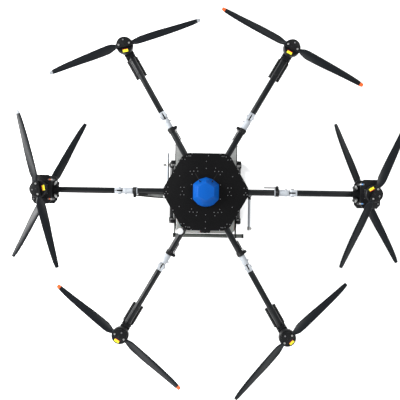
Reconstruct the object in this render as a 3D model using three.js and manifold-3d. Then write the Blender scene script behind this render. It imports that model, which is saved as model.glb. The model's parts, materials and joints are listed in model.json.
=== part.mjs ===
// Agricultural spray drone: six folding arms, eight rotors (the left and right arms carry two each),
// spray tank, battery, pump, two folding spray booms and a landing gear.
// Millimetres, +Z up, +Y to the front. Origin: on the ground, under the drone's vertical axis.
import * as THREE from "three";
import { mergeVertices } from "three/addons/utils/BufferGeometryUtils.js";
import Module from "manifold-3d";

const wasm = await Module();
wasm.setup();

// ---- Driving dimensions ----
const GAP = 0.3; // clearance between pieces that touch

// Frame plates
const PLATE_FLAT = 187; // axis to the flat edges
const PLATE_CORNER = 205; // axis to the cut corners, where the arms leave
const PLATE_THICK = 3;
const TOP_PLATE_Z = 487; // underside of the top plate
const BOTTOM_PLATE_Z = 452; // underside of the bottom plate

// Arms
const ARM_Z = 471; // height of the tubes' axis
const TUBE_R = 15;
const TUBE_BORE_R = 13;
const HINGE_U = 421; // axis of the drone to the folding pivot
const MOTOR_U = 800; // axis of the drone to a single motor's axis
const TWIN_U = 790; // axis of the drone to the twin motors' axis
const TUBE_END_U = 775;
const LEVER_U = 345; // axis of the drone to a lever's pin
const LEVER_V = 26; // arm's axis to a lever's pin
const LEVER_END_U = 280; // inner end of a lever
const CLOSE_LEVER = TUBE_R + 0.6; // arm's axis to a lever that lies against its tube
const WIDE_LEVER = 21.5; // the same, for the lever that stands off its tube

// Rotors
const BELL_R = 41;
const STATOR_R = 36.5;
const BLADE_PIVOT = 25; // motor axis to a blade's pivot bolt
const BLADE_TIP = 381; // half of a 762 mm (30 inch) propeller
const ROOT_THICK = 8; // thickness of a blade's root eye
const BLADE_RISE = 45; // motor base to the blade plane
const SINGLE_BASE_Z = 497; // top of a single motor mount
const UPPER_BASE_Z = 542; // top of a twin motor mount
const LOWER_BASE_Z = 414; // underside of a twin motor mount

// Tank, cradle and landing gear
const PANEL_X = 155; // middle of a side panel
const PANEL_THICK = 4;
const CRADLE_TOP_Z = 345;
const TANK = { x: 150, rear: -208, front: 70, bottom: 175, top: 345, wall: 4 };
const NECK = { y: -172, rim: 28, bore: 22, top: 352 };
const LID_HINGE = { y: -136, z: 355 };
const LEG_Y = 150;
const SKID_X = 186;
const BOOM_Z = 300;
const BOOM_LENGTH = 178;
const BOOM_PIVOTS = { right: [225, -14], left: [-195, 20] };

// ---- Solids ----
function solid(geometry) {
  const plain = geometry.index ? geometry.toNonIndexed() : geometry.clone();
  plain.deleteAttribute("normal");
  plain.deleteAttribute("uv");
  const merged = mergeVertices(plain, 1e-4);
  return new wasm.Manifold(
    new wasm.Mesh({
      numProp: 3,
      vertProperties: merged.attributes.position.array,
      triVerts: new Uint32Array(merged.index.array),
    }),
  );
}

function join(...solids) {
  return solids.reduce((a, b) => a.add(b));
}

function cut(from, ...tools) {
  return tools.reduce((a, b) => a.subtract(b), from);
}

// A box from its lowest to its highest corner.
function box(x0, x1, y0, y1, z0, z1) {
  const geometry = new THREE.BoxGeometry(x1 - x0, y1 - y0, z1 - z0);
  geometry.translate((x0 + x1) / 2, (y0 + y1) / 2, (z0 + z1) / 2);
  return solid(geometry);
}

// A round bar between two points.
function rod(from, to, radius, sides = 16, endRadius = radius) {
  const a = new THREE.Vector3(...from);
  const b = new THREE.Vector3(...to);
  const along = b.clone().sub(a);
  const geometry = new THREE.CylinderGeometry(endRadius, radius, along.length(), sides);
  const turn = new THREE.Quaternion().setFromUnitVectors(new THREE.Vector3(0, 1, 0), along.normalize());
  geometry.applyQuaternion(turn);
  const middle = a.add(b).multiplyScalar(0.5);
  geometry.translate(middle.x, middle.y, middle.z);
  return solid(geometry);
}

// A shape given by its outline, extruded upwards from z0 to z1.
function slab(points, z0, z1) {
  const shape = new THREE.Shape(points.map(([x, y]) => new THREE.Vector2(x, y)));
  const geometry = new THREE.ExtrudeGeometry(shape, { depth: z1 - z0, bevelEnabled: false });
  geometry.translate(0, 0, z0);
  return solid(geometry);
}

// A solid of revolution about the Z axis from its half outline [radius, z].
function turned(profile, sides) {
  const geometry = new THREE.LatheGeometry(
    profile.map(([r, z]) => new THREE.Vector2(r, z)),
    sides,
  );
  geometry.rotateX(Math.PI / 2);
  return solid(geometry);
}

// The same, but turned about the X axis at the arms' height: half outline [radius, distance along X].
function turnedOnArm(profile, sides) {
  return turned(profile, sides).rotate([0, 90, 0]).translate([0, 0, ARM_Z]);
}

function arc(cx, cy, radius, fromDeg, toDeg, steps) {
  const points = [];
  for (let i = 0; i <= steps; i += 1) {
    const a = THREE.MathUtils.degToRad(fromDeg + ((toDeg - fromDeg) * i) / steps);
    points.push([cx + radius * Math.cos(a), cy + radius * Math.sin(a)]);
  }
  return points;
}

const SLOTS = {
  carbon: { color: 0x1b1c1e, roughness: 0.45, metalness: 0.1 },
  blackPlastic: { color: 0x17181a, roughness: 0.5, metalness: 0 },
  blackMetal: { color: 0x1d1f21, roughness: 0.4, metalness: 0.6 },
  silver: { color: 0xc9ccd0, roughness: 0.3, metalness: 0.9 },
  blue: { color: 0x0058c8, roughness: 0.35, metalness: 0 },
  tank: { color: 0xd9dcd8, roughness: 0.5, metalness: 0 },
};

function part(name, shape, slot) {
  const out = shape.getMesh();
  const geometry = new THREE.BufferGeometry();
  geometry.setAttribute("position", new THREE.BufferAttribute(Float32Array.from(out.vertProperties), 3));
  geometry.setIndex(new THREE.BufferAttribute(Uint32Array.from(out.triVerts), 1));
  geometry.computeVertexNormals();
  const mesh = new THREE.Mesh(geometry, new THREE.MeshStandardMaterial(SLOTS[slot]));
  mesh.name = name;
  return mesh;
}

// ---- Frame plates ----
// A hexagon with its corners on the arms' axes, cut square where each arm leaves.
function plateOutline() {
  const cutHalf = (PLATE_FLAT / Math.cos(Math.PI / 6) - PLATE_CORNER) * Math.tan(Math.PI / 3);
  const points = [];
  for (let i = 0; i < 6; i += 1) {
    const a = (i * Math.PI) / 3;
    for (const side of [-1, 1]) {
      points.push([
        PLATE_CORNER * Math.cos(a) - side * cutHalf * Math.sin(a),
        PLATE_CORNER * Math.sin(a) + side * cutHalf * Math.cos(a),
      ]);
    }
  }
  return points;
}

function topPlate() {
  return slab(plateOutline(), TOP_PLATE_Z, TOP_PLATE_Z + PLATE_THICK);
}

// The bottom plate with the six posts that space the plates.
function bottomPlate() {
  const posts = [];
  for (let i = 0; i < 6; i += 1) {
    const a = ((i + 0.5) * Math.PI) / 3;
    const x = 160 * Math.cos(a);
    const y = 160 * Math.sin(a);
    posts.push(rod([x, y, BOTTOM_PLATE_Z + 1], [x, y, TOP_PLATE_Z - GAP], 5, 8));
  }
  return join(slab(plateOutline(), BOTTOM_PLATE_Z, BOTTOM_PLATE_Z + PLATE_THICK), ...posts);
}

// A faceted cover over the positioning antenna: the hull of its base, shoulder and flat top.
function gpsCover() {
  const base = TOP_PLATE_Z + PLATE_THICK + GAP;
  const outline = [
    ...arc(0, 0, 72, 238, 302, 4),
    [62, -36],
    [62, 36],
    [32, 60],
    [0, 70],
    [-32, 60],
    [-62, 36],
    [-62, -36],
  ];
  const top = arc(0, 1, 43.5, 30, 330, 5);
  const points = [
    ...outline.map(([x, y]) => [x, y, base]),
    ...outline.map(([x, y]) => [x, y, base + 9]),
    ...top.map(([x, y]) => [x, y, base + 46]),
  ];
  return wasm.Manifold.hull(points);
}

// ---- Inner arms, fixed to the frame ----
// Along +X from the axis: tube with its two clamp blocks, collar, threaded body and hinge tongue.
function innerArm(side) {
  const blockLow = BOTTOM_PLATE_Z + PLATE_THICK + GAP;
  const blockHigh = TOP_PLATE_Z - GAP;
  const body = turnedOnArm(
    [
      [0, 78],
      [TUBE_R, 78],
      [TUBE_R, 332],
      [18, 332],
      [18, 336],
      [19, 337],
      [19, 354],
      [16, 354],
      [16, 396],
      [14.5, 396],
      [14.5, 402],
      [0, 402],
    ],
    16,
  );
  const bore = turnedOnArm(
    [
      [0, 70],
      [TUBE_BORE_R, 70],
      [TUBE_BORE_R, 322],
      [0, 322],
    ],
    16,
  );
  const tongue = box(398, HINGE_U, -3.2, 3.2, ARM_Z - 13, ARM_Z + 13);
  const nose = rod([HINGE_U, -3.2, ARM_Z], [HINGE_U, 3.2, ARM_Z], 13, 14);
  const ears = [-11.2, 8.2].map((z) =>
    box(338, 352, Math.min(side * 12, side * 31), Math.max(side * 12, side * 31), ARM_Z + z, ARM_Z + z + 3),
  );
  const pin = rod([LEVER_U, side * LEVER_V, ARM_Z - 12], [LEVER_U, side * LEVER_V, ARM_Z + 12], 3, 8);
  const whole = join(
    body,
    box(84, 124, -20, 20, blockLow, blockHigh),
    box(168, 202, -21, 21, blockLow, blockHigh),
    tongue,
    nose,
    ...ears,
    pin,
  );
  return cut(whole, bore, rod([HINGE_U, -5, ARM_Z], [HINGE_U, 5, ARM_Z], 4.5, 10));
}

// The cam lever that locks the hinge, lying along the inner tube with its inner side at inset.
function lockLever(side, inset) {
  const outline = [
    [LEVER_END_U, inset],
    [327, inset],
    [331, Math.max(inset, 19.6)],
    [LEVER_U, LEVER_V - 5.5],
    [LEVER_U, LEVER_V + 2],
    [326, inset + 5],
    [LEVER_END_U, inset + 5],
  ].map(([u, v]) => [u, side * v]);
  const handle = slab(side > 0 ? outline : outline.reverse(), ARM_Z - 6, ARM_Z + 6);
  const head = rod([LEVER_U, side * LEVER_V, ARM_Z - 7.8], [LEVER_U, side * LEVER_V, ARM_Z + 7.8], 6, 12);
  const bore = rod([LEVER_U, side * LEVER_V, ARM_Z - 9], [LEVER_U, side * LEVER_V, ARM_Z + 9], 3.5, 10);
  return cut(join(head, handle), bore);
}

// ---- Outer arms ----
// The fork with its pivot bolt, and the tube that it holds.
function outerArm() {
  const cheekEnd = arc(HINGE_U, 0, 17, 90, 270, 8);
  const profile = [...cheekEnd, [442, -15.5], [442, 15.5]];
  const fork = slab(profile, -15.5, 15.5).rotate([90, 0, 0]).translate([0, 0, ARM_Z]);
  const slot = box(395, 436, -3.5, 3.5, ARM_Z - 20, ARM_Z + 20);
  const bolt = rod([HINGE_U, -19, ARM_Z], [HINGE_U, 19, ARM_Z], 4, 10);
  const heads = [-19.5, 15].map((y) => rod([HINGE_U, y, ARM_Z], [HINGE_U, y + 4.5, ARM_Z], 7.5, 6));
  const tube = cut(
    rod([438, 0, ARM_Z], [TUBE_END_U, 0, ARM_Z], TUBE_R, 16),
    rod([455, 0, ARM_Z], [TUBE_END_U + 5, 0, ARM_Z], TUBE_BORE_R, 12),
  );
  return join(cut(fork, slot), bolt, ...heads, tube);
}

function tubeBore() {
  return rod([600, 0, ARM_Z], [TUBE_END_U + 1, 0, ARM_Z], TUBE_R + 0.5, 16);
}

// The fixed half of a motor: winding core with its bearing bore. Up is +1 above the mount, -1 below.
function stator(u, baseZ, up) {
  const core = rod([u, 0, baseZ - up], [u, 0, baseZ + up * 28], STATOR_R, 16);
  return cut(core, rod([u, 0, baseZ + up * 0.5], [u, 0, baseZ + up * 30], 7, 10));
}

// A single motor's mount: clamp block on the tube, base, stator, and the finned speed controller below.
function singleMount() {
  const block = join(
    box(744, 826, -24, 24, ARM_Z - 19, SINGLE_BASE_Z - 8),
    rod([MOTOR_U, 0, SINGLE_BASE_Z - 9], [MOTOR_U, 0, SINGLE_BASE_Z], 38, 16),
  );
  const controller = box(640, 746, -26, 26, ARM_Z - 43, ARM_Z - TUBE_R - 1.5);
  const fins = [652, 668, 684, 700, 716, 732].map((u) =>
    box(u, u + 7, -30, 30, ARM_Z - 44, ARM_Z - 36),
  );
  const body = join(block, controller, cut(join(...fins), box(600, 800, -20, 20, ARM_Z - 60, ARM_Z)));
  return join(cut(body, tubeBore()), stator(MOTOR_U, SINGLE_BASE_Z, 1));
}

// A twin mount: two chamfered plates on a clamp column and four posts, a motor above and one below.
function twinMount() {
  const outline = [
    [732, -50],
    [748, -69],
    [812, -69],
    [828, -50],
    [828, 50],
    [812, 69],
    [748, 69],
    [732, 50],
  ];
  const plates = [
    slab(outline, UPPER_BASE_Z - 6, UPPER_BASE_Z),
    slab(outline, LOWER_BASE_Z, LOWER_BASE_Z + 6),
  ];
  const posts = [];
  for (const u of [747, 817]) {
    for (const v of [-46, 46]) {
      posts.push(rod([u, v, LOWER_BASE_Z + 1], [u, v, UPPER_BASE_Z - 1], 6, 8));
    }
  }
  const column = box(744, 826, -26, 26, LOWER_BASE_Z + 5, UPPER_BASE_Z - 5);
  const bracket = box(708, 750, -34, 34, ARM_Z + TUBE_R + 3, ARM_Z + TUBE_R + 7);
  const lamps = [-1, 1].map((side) =>
    rod([712, side * 24, ARM_Z + 20], [734, side * 38, ARM_Z + 38], 13, 12),
  );
  const body = cut(join(...plates, column, bracket), tubeBore());
  return join(body, ...posts, ...lamps, stator(TWIN_U, UPPER_BASE_Z, 1), stator(TWIN_U, LOWER_BASE_Z, -1));
}

// ---- Rotors ----
// The turning half of a motor with the clamp that carries the blades: base at z 0, blades at BLADE_RISE.
function rotorHub() {
  const bell = turned(
    [
      [0, 1.5],
      [6, 1.5],
      [6, 30],
      [38.2, 30],
      [38.2, 0.6],
      [BELL_R, 0.6],
      [BELL_R, 32],
      [37, 36],
      [0, 36],
    ],
    18,
  );
  const outline = [...arc(BLADE_PIVOT, 0, 11.5, -90, 90, 6), ...arc(-BLADE_PIVOT, 0, 11.5, 90, 270, 6)];
  const under = BLADE_RISE - ROOT_THICK / 2 - GAP;
  const over = BLADE_RISE + ROOT_THICK / 2 + GAP;
  const bolts = [-1, 1].map((s) =>
    rod([s * BLADE_PIVOT, 0, under - 1], [s * BLADE_PIVOT, 0, over + 4], 4, 10),
  );
  const heads = [-1, 1].map((s) =>
    rod([s * BLADE_PIVOT, 0, over + 2], [s * BLADE_PIVOT, 0, over + 6], 6.5, 6),
  );
  return join(
    bell,
    slab(outline, under - 3.5, under),
    slab(outline, over, over + 3.2),
    rod([0, 0, 35], [0, 0, over + 7], 10, 10),
    ...bolts,
    ...heads,
  );
}

// Along a blade: [distance from the motor axis, leading side, trailing side, thickness, pitch in degrees].
const BLADE_STATIONS = [
  [34, 9, 9, 7.4, 0],
  [46, 14, 12.5, 7, 14],
  [62, 19.5, 17.5, 6.4, 22],
  [85, 21.5, 22, 5.6, 23],
  [112, 21, 21.5, 5, 20],
  [165, 20.5, 20, 4.2, 15],
  [225, 19.3, 16.5, 3.6, 11],
  [290, 17.2, 13.4, 3, 9],
  [345, 13.6, 11.2, 2.4, 7.5],
  [370, 10, 9.6, 2, 7],
  [BLADE_TIP, 7.5, 7.5, 1.4, 7],
];
// Around a blade's section: [part of the chord from the leading side, height in half thicknesses].
const BLADE_SECTION = [
  [0, 0],
  [0.2, 1],
  [0.6, 0.8],
  [1, 0.15],
  [0.6, -0.6],
  [0.2, -0.9],
];

// A blade with its pivot at the origin, along +X. Hand +1 has its broad trailing side on +Y.
function blade(hand) {
  const positions = [];
  for (const [r, lead, trail, thick, pitchDeg] of BLADE_STATIONS) {
    const pitch = THREE.MathUtils.degToRad(pitchDeg);
    for (const [share, height] of BLADE_SECTION) {
      const y = -lead + share * (lead + trail);
      const z = (height * thick) / 2;
      const turnedY = y * Math.cos(pitch) + z * Math.sin(pitch);
      const turnedZ = -y * Math.sin(pitch) + z * Math.cos(pitch);
      positions.push(r - BLADE_PIVOT, hand * turnedY, turnedZ);
    }
  }
  const around = BLADE_SECTION.length;
  const faces = [];
  const face = (a, b, c) => faces.push(...(hand > 0 ? [a, b, c] : [a, c, b]));
  for (let s = 0; s + 1 < BLADE_STATIONS.length; s += 1) {
    for (let i = 0; i < around; i += 1) {
      const a = s * around + i;
      const b = s * around + ((i + 1) % around);
      face(a, a + around, b);
      face(b, a + around, b + around);
    }
  }
  const last = (BLADE_STATIONS.length - 1) * around;
  for (let i = 1; i + 1 < around; i += 1) {
    face(0, i, i + 1);
    face(last, last + i + 1, last + i);
  }
  const geometry = new THREE.BufferGeometry();
  geometry.setAttribute("position", new THREE.Float32BufferAttribute(positions, 3));
  geometry.setIndex(faces);
  const half = ROOT_THICK / 2;
  const eye = join(rod([0, 0, -half], [0, 0, half], 11, 12), box(4, 14, -8, 8, -3.6, 3.6));
  return cut(join(solid(geometry), eye), rod([0, 0, -9], [0, 0, 9], 4.6, 10));
}

// ---- Tank, cradle, battery, pump ----
function sprayTank() {
  const { x, rear, front, bottom, top, wall } = TANK;
  const corner = 24;
  const roundedBox = (inset) => {
    const r = corner - inset;
    const a = x - corner;
    const outline = [
      ...arc(a, front - corner, r, 0, 90, 4),
      ...arc(-a, front - corner, r, 90, 180, 4),
      ...arc(-a, rear + corner, r, 180, 270, 4),
      ...arc(a, rear + corner, r, 270, 360, 4),
    ];
    return slab(outline, bottom + inset, top - inset);
  };
  const neckOuter = rod([0, NECK.y, top - wall], [0, NECK.y, NECK.top], NECK.rim, 20);
  const neckInner = rod([0, NECK.y, top - 2 * wall], [0, NECK.y, NECK.top + 5], NECK.bore, 20);
  const ears = [-19, 14.4].map((u) =>
    box(u, u + 4.6, LID_HINGE.y - 6, LID_HINGE.y + 6, top - 1, LID_HINGE.z + 4),
  );
  const pin = rod([-18, LID_HINGE.y, LID_HINGE.z], [18, LID_HINGE.y, LID_HINGE.z], 2, 8);
  const shell = cut(roundedBox(0), roundedBox(wall));
  return join(cut(join(shell, neckOuter), neckInner), ...ears, pin);
}

function tankLid() {
  const { y, z } = LID_HINGE;
  const plate = box(-26, 26, -207, y - 8, NECK.top + 0.4, NECK.top + 5);
  const leaf = box(-13, 13, y - 9, y, NECK.top + 0.4, NECK.top + 5);
  const barrel = rod([-13, y, z], [13, y, z], 4.2, 12);
  return cut(join(plate, leaf, barrel), rod([-15, y, z], [15, y, z], 2.5, 10));
}

// Two side panels under the bottom plate, the bars that carry the tank, battery and pump,
// the rear cross tube and the boom brackets.
function tankCradle() {
  const inner = PANEL_X - PANEL_THICK / 2;
  const outer = PANEL_X + PANEL_THICK / 2;
  const pieces = [];
  for (const side of [-1, 1]) {
    const wall = (a, b, y0, y1, z0, z1) =>
      box(Math.min(side * a, side * b), Math.max(side * a, side * b), y0, y1, z0, z1);
    pieces.push(wall(inner, outer, -231, 250, 262, CRADLE_TOP_Z));
    pieces.push(wall(inner, outer, -96, 96, CRADLE_TOP_Z - 1, BOTTOM_PLATE_Z - GAP));
    pieces.push(wall(inner, outer, -176, -144, 164, 263));
    pieces.push(wall(inner, outer, -16, 16, 164, 263));
    const shelf = [
      [110, 76],
      [inner + 1, 76],
      [inner + 1, 250],
      [147, 250],
      [110, 186],
    ].map(([x, y]) => [side * x, y]);
    pieces.push(slab(side > 0 ? shelf : shelf.reverse(), CRADLE_TOP_Z - 4, CRADLE_TOP_Z));
  }
  pieces.push(box(-PANEL_X, PANEL_X, -172, -148, 164, TANK.bottom - GAP));
  pieces.push(box(-PANEL_X, PANEL_X, -12, 12, 164, TANK.bottom - GAP));
  pieces.push(box(-PANEL_X, PANEL_X, -70, -50, CRADLE_TOP_Z + GAP, CRADLE_TOP_Z + 6));
  pieces.push(box(-PANEL_X, PANEL_X, 60, 80, CRADLE_TOP_Z + GAP, CRADLE_TOP_Z + 6));
  pieces.push(box(-PANEL_X, PANEL_X, 105, 121, 262, 268));
  pieces.push(box(-PANEL_X, PANEL_X, 150, 166, 262, 268));
  pieces.push(rod([-PANEL_X, -220, 334], [192, -220, 334], 10, 14));
  for (const [x, y] of Object.values(BOOM_PIVOTS)) {
    const side = Math.sign(x);
    for (const z of [BOOM_Z - 14, BOOM_Z + 9]) {
      const low = Math.min(side * PANEL_X, x + side * 10);
      const high = Math.max(side * PANEL_X, x + side * 10);
      pieces.push(box(low, high, y - 10, y + 10, z, z + 5));
    }
    pieces.push(rod([x, y, BOOM_Z - 13], [x, y, BOOM_Z + 16], 4, 10));
  }
  return join(...pieces);
}

function batteryPack() {
  const body = box(-84, 84, -105, 144, CRADLE_TOP_Z + 6.4, 440);
  const cap = box(-78, 78, 140, 150, 358, 434);
  const handle = join(
    box(-52, -42, 148, 182, 392, 402),
    box(42, 52, 148, 182, 392, 402),
    box(-52, 52, 174, 182, 392, 402),
  );
  return join(body, cap, handle);
}

function sprayPump() {
  const motor = rod([-6, 135, 300], [44, 135, 300], 26, 16);
  return join(box(-46, 20, 100, 170, 268.4, 332), motor, rod([-60, 120, 300], [-40, 120, 300], 6, 10));
}

// ---- Landing gear, one side ----
function landingGear(side) {
  const pieces = [rod([side * SKID_X, -LEG_Y - 4, 15], [side * SKID_X, LEG_Y + 4, 15], 11, 14)];
  for (const end of [-1, 1]) {
    const y = end * LEG_Y;
    const low = Math.min(side * (PANEL_X + 2.3), side * 172);
    const high = Math.max(side * (PANEL_X + 2.3), side * 172);
    pieces.push(rod([side * SKID_X, y, 15], [side * 168, y, 340], 8, 12));
    pieces.push(box(low, high, y - 13, y + 13, 300, 340));
    pieces.push(
      box(side * SKID_X - 13, side * SKID_X + 13, Math.min(y, y + end * 20), Math.max(y, y + end * 20), 0, 28),
    );
  }
  return join(...pieces);
}

// ---- Spray booms ----
// A tube with its pivot at the origin, lying along -Y, with a nozzle hanging from it.
function sprayBoom(nozzleAlong, nozzleX) {
  const end = -BOOM_LENGTH;
  const eye = rod([0, 0, -8.6], [0, 0, 8.6], 9.5, 12);
  const tube = rod([0, -6, 0], [0, end, 0], 6.5, 12);
  const y = end * nozzleAlong;
  const holder = box(Math.min(-7, nozzleX - 8), Math.max(7, nozzleX + 8), y - 8, y + 8, -9, 9);
  const nozzle = rod([nozzleX, y, -34], [nozzleX, y, -8], 4, 10, 8);
  return cut(join(eye, tube, holder, nozzle), rod([0, 0, -12], [0, 0, 12], 4.5, 10));
}

// ---- Assembly ----
// Each arm: its direction, the side of its lever, and its rotors. A rotor has the way it faces, the hand
// of its two blades, the direction of the clamp that holds them, and the directions in which they rest.
const UP = 1;
const DOWN = -1;
const ARMS = [
  {
    name: "front_left",
    angle: 120,
    lever: -1,
    rotors: [{ face: UP, hand: 1, clamp: 192.7, blades: [203.1, 19.4] }],
  },
  {
    name: "front_right",
    angle: 60,
    lever: 1,
    rotors: [{ face: UP, hand: -1, clamp: 151.9, blades: [152, 331.9] }],
  },
  {
    name: "rear_left",
    angle: 240,
    lever: 1,
    rotors: [{ face: UP, hand: -1, clamp: 329.4, blades: [318.9, 140.7] }],
  },
  {
    name: "rear_right",
    angle: 300,
    lever: 1,
    rotors: [{ face: UP, hand: 1, clamp: 45.9, blades: [44.3, 230.2] }],
  },
  {
    name: "left",
    angle: 180,
    lever: 1,
    rotors: [
      { face: UP, hand: 1, clamp: 282.2, blades: [285.6, 105.6], tag: "_upper" },
      { face: DOWN, hand: -1, clamp: 242.2, blades: [242.9, 61.1], tag: "_lower" },
    ],
  },
  {
    name: "right",
    angle: 0,
    lever: 1,
    inset: WIDE_LEVER,
    rotors: [
      { face: UP, hand: 1, clamp: 63.9, blades: [67.1, 245.9], tag: "_upper" },
      { face: DOWN, hand: -1, clamp: 114.4, blades: [112, 297], tag: "_lower" },
    ],
  },
];

function turnedGroup(degrees, x = 0, y = 0, z = 0) {
  const group = new THREE.Group();
  group.position.set(x, y, z);
  group.rotation.z = THREE.MathUtils.degToRad(degrees);
  return group;
}

function rotorGroup(arm, rotor) {
  const twin = arm.rotors.length > 1;
  const baseZ = twin ? (rotor.face === UP ? UPPER_BASE_Z : LOWER_BASE_Z) : SINGLE_BASE_Z;
  const name = arm.name + (rotor.tag || "");
  const group = turnedGroup(0, twin ? TWIN_U : MOTOR_U, 0, baseZ);
  const clampTurn = THREE.MathUtils.degToRad(rotor.clamp - arm.angle);
  const hub = part("rotor_" + name, rotorHub(), "blackMetal");
  hub.rotation.set(rotor.face === UP ? 0 : Math.PI, 0, clampTurn, "ZYX");
  group.add(hub);
  rotor.blades.forEach((direction, i) => {
    const pivotTurn = clampTurn + i * Math.PI;
    const mesh = part("blade_" + name + "_" + "ab"[i], blade(rotor.hand), "carbon");
    mesh.position.set(
      BLADE_PIVOT * Math.cos(pivotTurn),
      BLADE_PIVOT * Math.sin(pivotTurn),
      rotor.face * BLADE_RISE,
    );
    mesh.rotation.z = THREE.MathUtils.degToRad(direction - arm.angle);
    group.add(mesh);
  });
  return group;
}

function armGroup(arm) {
  const twin = arm.rotors.length > 1;
  const group = turnedGroup(arm.angle);
  group.add(part("inner_arm_" + arm.name, innerArm(arm.lever), "carbon"));
  group.add(part("lock_lever_" + arm.name, lockLever(arm.lever, arm.inset || CLOSE_LEVER), "blackPlastic"));
  group.add(part("outer_arm_" + arm.name, outerArm(), "carbon"));
  group.add(part("motor_mount_" + arm.name, twin ? twinMount() : singleMount(), "blackMetal"));
  for (const rotor of arm.rotors) {
    group.add(rotorGroup(arm, rotor));
  }
  return group;
}

function boomGroup(name, turnDeg, nozzleAlong, nozzleX) {
  const [x, y] = BOOM_PIVOTS[name];
  const group = turnedGroup(turnDeg, x, y, BOOM_Z);
  group.add(part("spray_boom_" + name, sprayBoom(nozzleAlong, nozzleX), "silver"));
  return group;
}

const drone = new THREE.Group();
drone.add(part("top_plate", topPlate(), "carbon"));
drone.add(part("bottom_plate", bottomPlate(), "carbon"));
drone.add(part("gps_cover", gpsCover(), "blue"));
drone.add(part("spray_tank", sprayTank(), "tank"));
drone.add(part("tank_lid", tankLid(), "blackPlastic"));
drone.add(part("tank_cradle", tankCradle(), "carbon"));
drone.add(part("battery_pack", batteryPack(), "blackPlastic"));
drone.add(part("spray_pump", sprayPump(), "blackPlastic"));
drone.add(part("landing_gear_left", landingGear(-1), "silver"));
drone.add(part("landing_gear_right", landingGear(1), "silver"));
drone.add(boomGroup("right", 0, 0.95, 6));
drone.add(boomGroup("left", 180, 0.66, 18));
for (const arm of ARMS) {
  drone.add(armGroup(arm));
}

export default drone;
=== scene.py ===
"""Looks of the agricultural spray drone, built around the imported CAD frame.

Shapes are written in millimetres, in the frame's axes (or along an arm: u outward, v across, z up),
and every piece is made in metres. Sizes come from the frame where it has them.
"""

import json
import math

import bmesh
import bpy
from mathutils import Matrix, Vector


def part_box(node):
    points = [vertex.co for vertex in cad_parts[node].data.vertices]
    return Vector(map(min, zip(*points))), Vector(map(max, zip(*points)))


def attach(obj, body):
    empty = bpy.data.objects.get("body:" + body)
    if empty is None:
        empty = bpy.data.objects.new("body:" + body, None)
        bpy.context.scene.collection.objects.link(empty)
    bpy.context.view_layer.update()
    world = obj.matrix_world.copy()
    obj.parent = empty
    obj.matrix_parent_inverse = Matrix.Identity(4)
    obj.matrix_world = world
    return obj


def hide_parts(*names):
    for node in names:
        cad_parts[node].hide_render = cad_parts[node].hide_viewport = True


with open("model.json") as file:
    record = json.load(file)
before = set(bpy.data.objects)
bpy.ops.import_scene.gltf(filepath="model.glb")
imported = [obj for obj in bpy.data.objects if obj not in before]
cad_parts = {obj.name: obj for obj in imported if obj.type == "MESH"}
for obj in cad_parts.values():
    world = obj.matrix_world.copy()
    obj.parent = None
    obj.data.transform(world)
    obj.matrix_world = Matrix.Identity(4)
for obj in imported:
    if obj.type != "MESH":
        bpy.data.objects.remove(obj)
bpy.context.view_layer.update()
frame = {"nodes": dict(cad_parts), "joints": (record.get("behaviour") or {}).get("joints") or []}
scene = bpy.context.scene

MM = 0.001
ROOT = "airframe"
OUT = (1, 0, 0)


# ---- what the frame says
joints = {j["name"]: j for j in frame["joints"]}


def joint_mm(name):
    return Vector(joints[name]["pos_m"]) / MM


def box_mm(node):
    low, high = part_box(node)
    return low / MM, high / MM


def turned_place(point_mm, turn):
    """A frame with its origin at a point, turned about the vertical."""
    return Matrix.Translation(Vector(point_mm) * MM) @ Matrix.Rotation(turn, 4, "Z")


right_pivot = joint_mm("right_arm_fold")
ARM_Z = right_pivot.z
HINGE_U = right_pivot.x
MOTOR_U = joint_mm("front_left_rotor_spin").xy.length
TWIN_U = joint_mm("right_upper_rotor_spin").x
LEVER_U, LEVER_V = joint_mm("right_lever").xy

plate_low, plate_high = box_mm("top_plate")
PLATE_FLAT = plate_high.y
PLATE_CORNER = plate_high.x
TOP_Z = plate_high.z
UNDER_Z = box_mm("bottom_plate")[0].z
PLATE_THICK = plate_high.z - plate_low.z

# ---- driving dimensions
TWIN_ARMS = ["left", "right"]
ARM_NAMES = ["front_left", "front_right", "rear_left", "rear_right", *TWIN_ARMS]
TUBE_R = 15.0
TUBE_BORE = 13.0
INNER_START, INNER_END = 78.0, 332.0
OUTER_START, OUTER_END = 442.0, 775.0
CLAMP_START, CLAMP_END = 744.0, 826.0  # the blocks that hold a motor mount on its arm tube
LEVER_END = 280.0
CLOSE_LEVER = TUBE_R + 0.6
WIDE_LEVER = 21.5
CORE_HEIGHT = 28.0  # how far a CAD motor mount reaches past the plane its motor stands on

# A rotor's heights above that plane, then its distances from the motor's axis.
BLADE_RISE = 45.0
SEAT_TOP = 40.6
DISC_LOW, DISC_HIGH = 52.4, 54.8
BLADE_PIVOT = 25.0
TIP_R = 381.0
TIP_PAINT = 17.0  # how much of a blade's end is painted

TANK_TOP = 345.0
NECK_Y = -172.0
CRADLE_TOP = 345.0
PANEL_X = 155.0
PANEL_IN, PANEL_OUT = PANEL_X - 2, PANEL_X + 2
STRAP_YS = (-160, 0)
STRAP_Z = 164
CROSS_TUBE_Y, CROSS_TUBE_Z = -220.0, 334.0
CROSS_TUBE_RIGHT = 192.0
BOOM_LENGTH = 178.0
SKID_X, SKID_Z, LEG_Y = 186, 15, 150

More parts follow.
